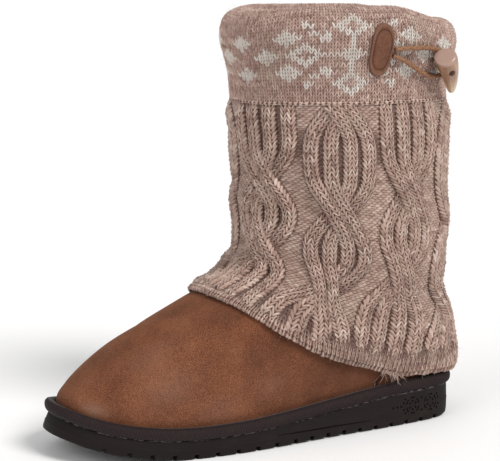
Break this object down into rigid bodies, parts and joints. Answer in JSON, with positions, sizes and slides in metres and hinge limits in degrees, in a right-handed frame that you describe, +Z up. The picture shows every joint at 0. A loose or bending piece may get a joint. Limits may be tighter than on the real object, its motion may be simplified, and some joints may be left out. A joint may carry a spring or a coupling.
{
  "type": "mukluk boot",
  "caption": "Left mid-calf winter boot: suede foot on a flat lugged rubber sole, cable-knit leg cover and patterned cuff closed by a toggle and loop.",
  "frame": {"origin": "centre of the heel's tread, on the plane that the sole stands on", "axes": "+Z up, toe towards -Y, heel towards +Y, outer side of the left foot towards +X"},
  "size_m": [0.13, 0.2836, 0.265],
  "materials": {
    "sole_rubber": "semi-matt near-black rubber",
    "binding_tape": "dark ribbed tape with slanted ribs",
    "suede": "soft chestnut suede with a short nap",
    "fleece": "short curly fleece",
    "cable_knit": "marled taupe yarn, cable and rib knit",
    "patterned_knit": "rosy plain knit with an ivory two-colour pattern",
    "patch_suede": "brown suede with a line of stitches",
    "elastic": "braided round elastic",
    "horn": "glossy turned wood in a horn's shape",
    "thread": "twisted thread"
  },
  "bodies": {
    "root": {"outsole": "sole_rubber", "binding": "binding_tape", "insole": "fleece", "upper": "suede", "sleeve": "cable_knit", "cuff": "patterned_knit", "patch": "patch_suede", "loop": "elastic", "toggle": "horn", "toggle_tie": "thread"}
  },
  "joints": []
}
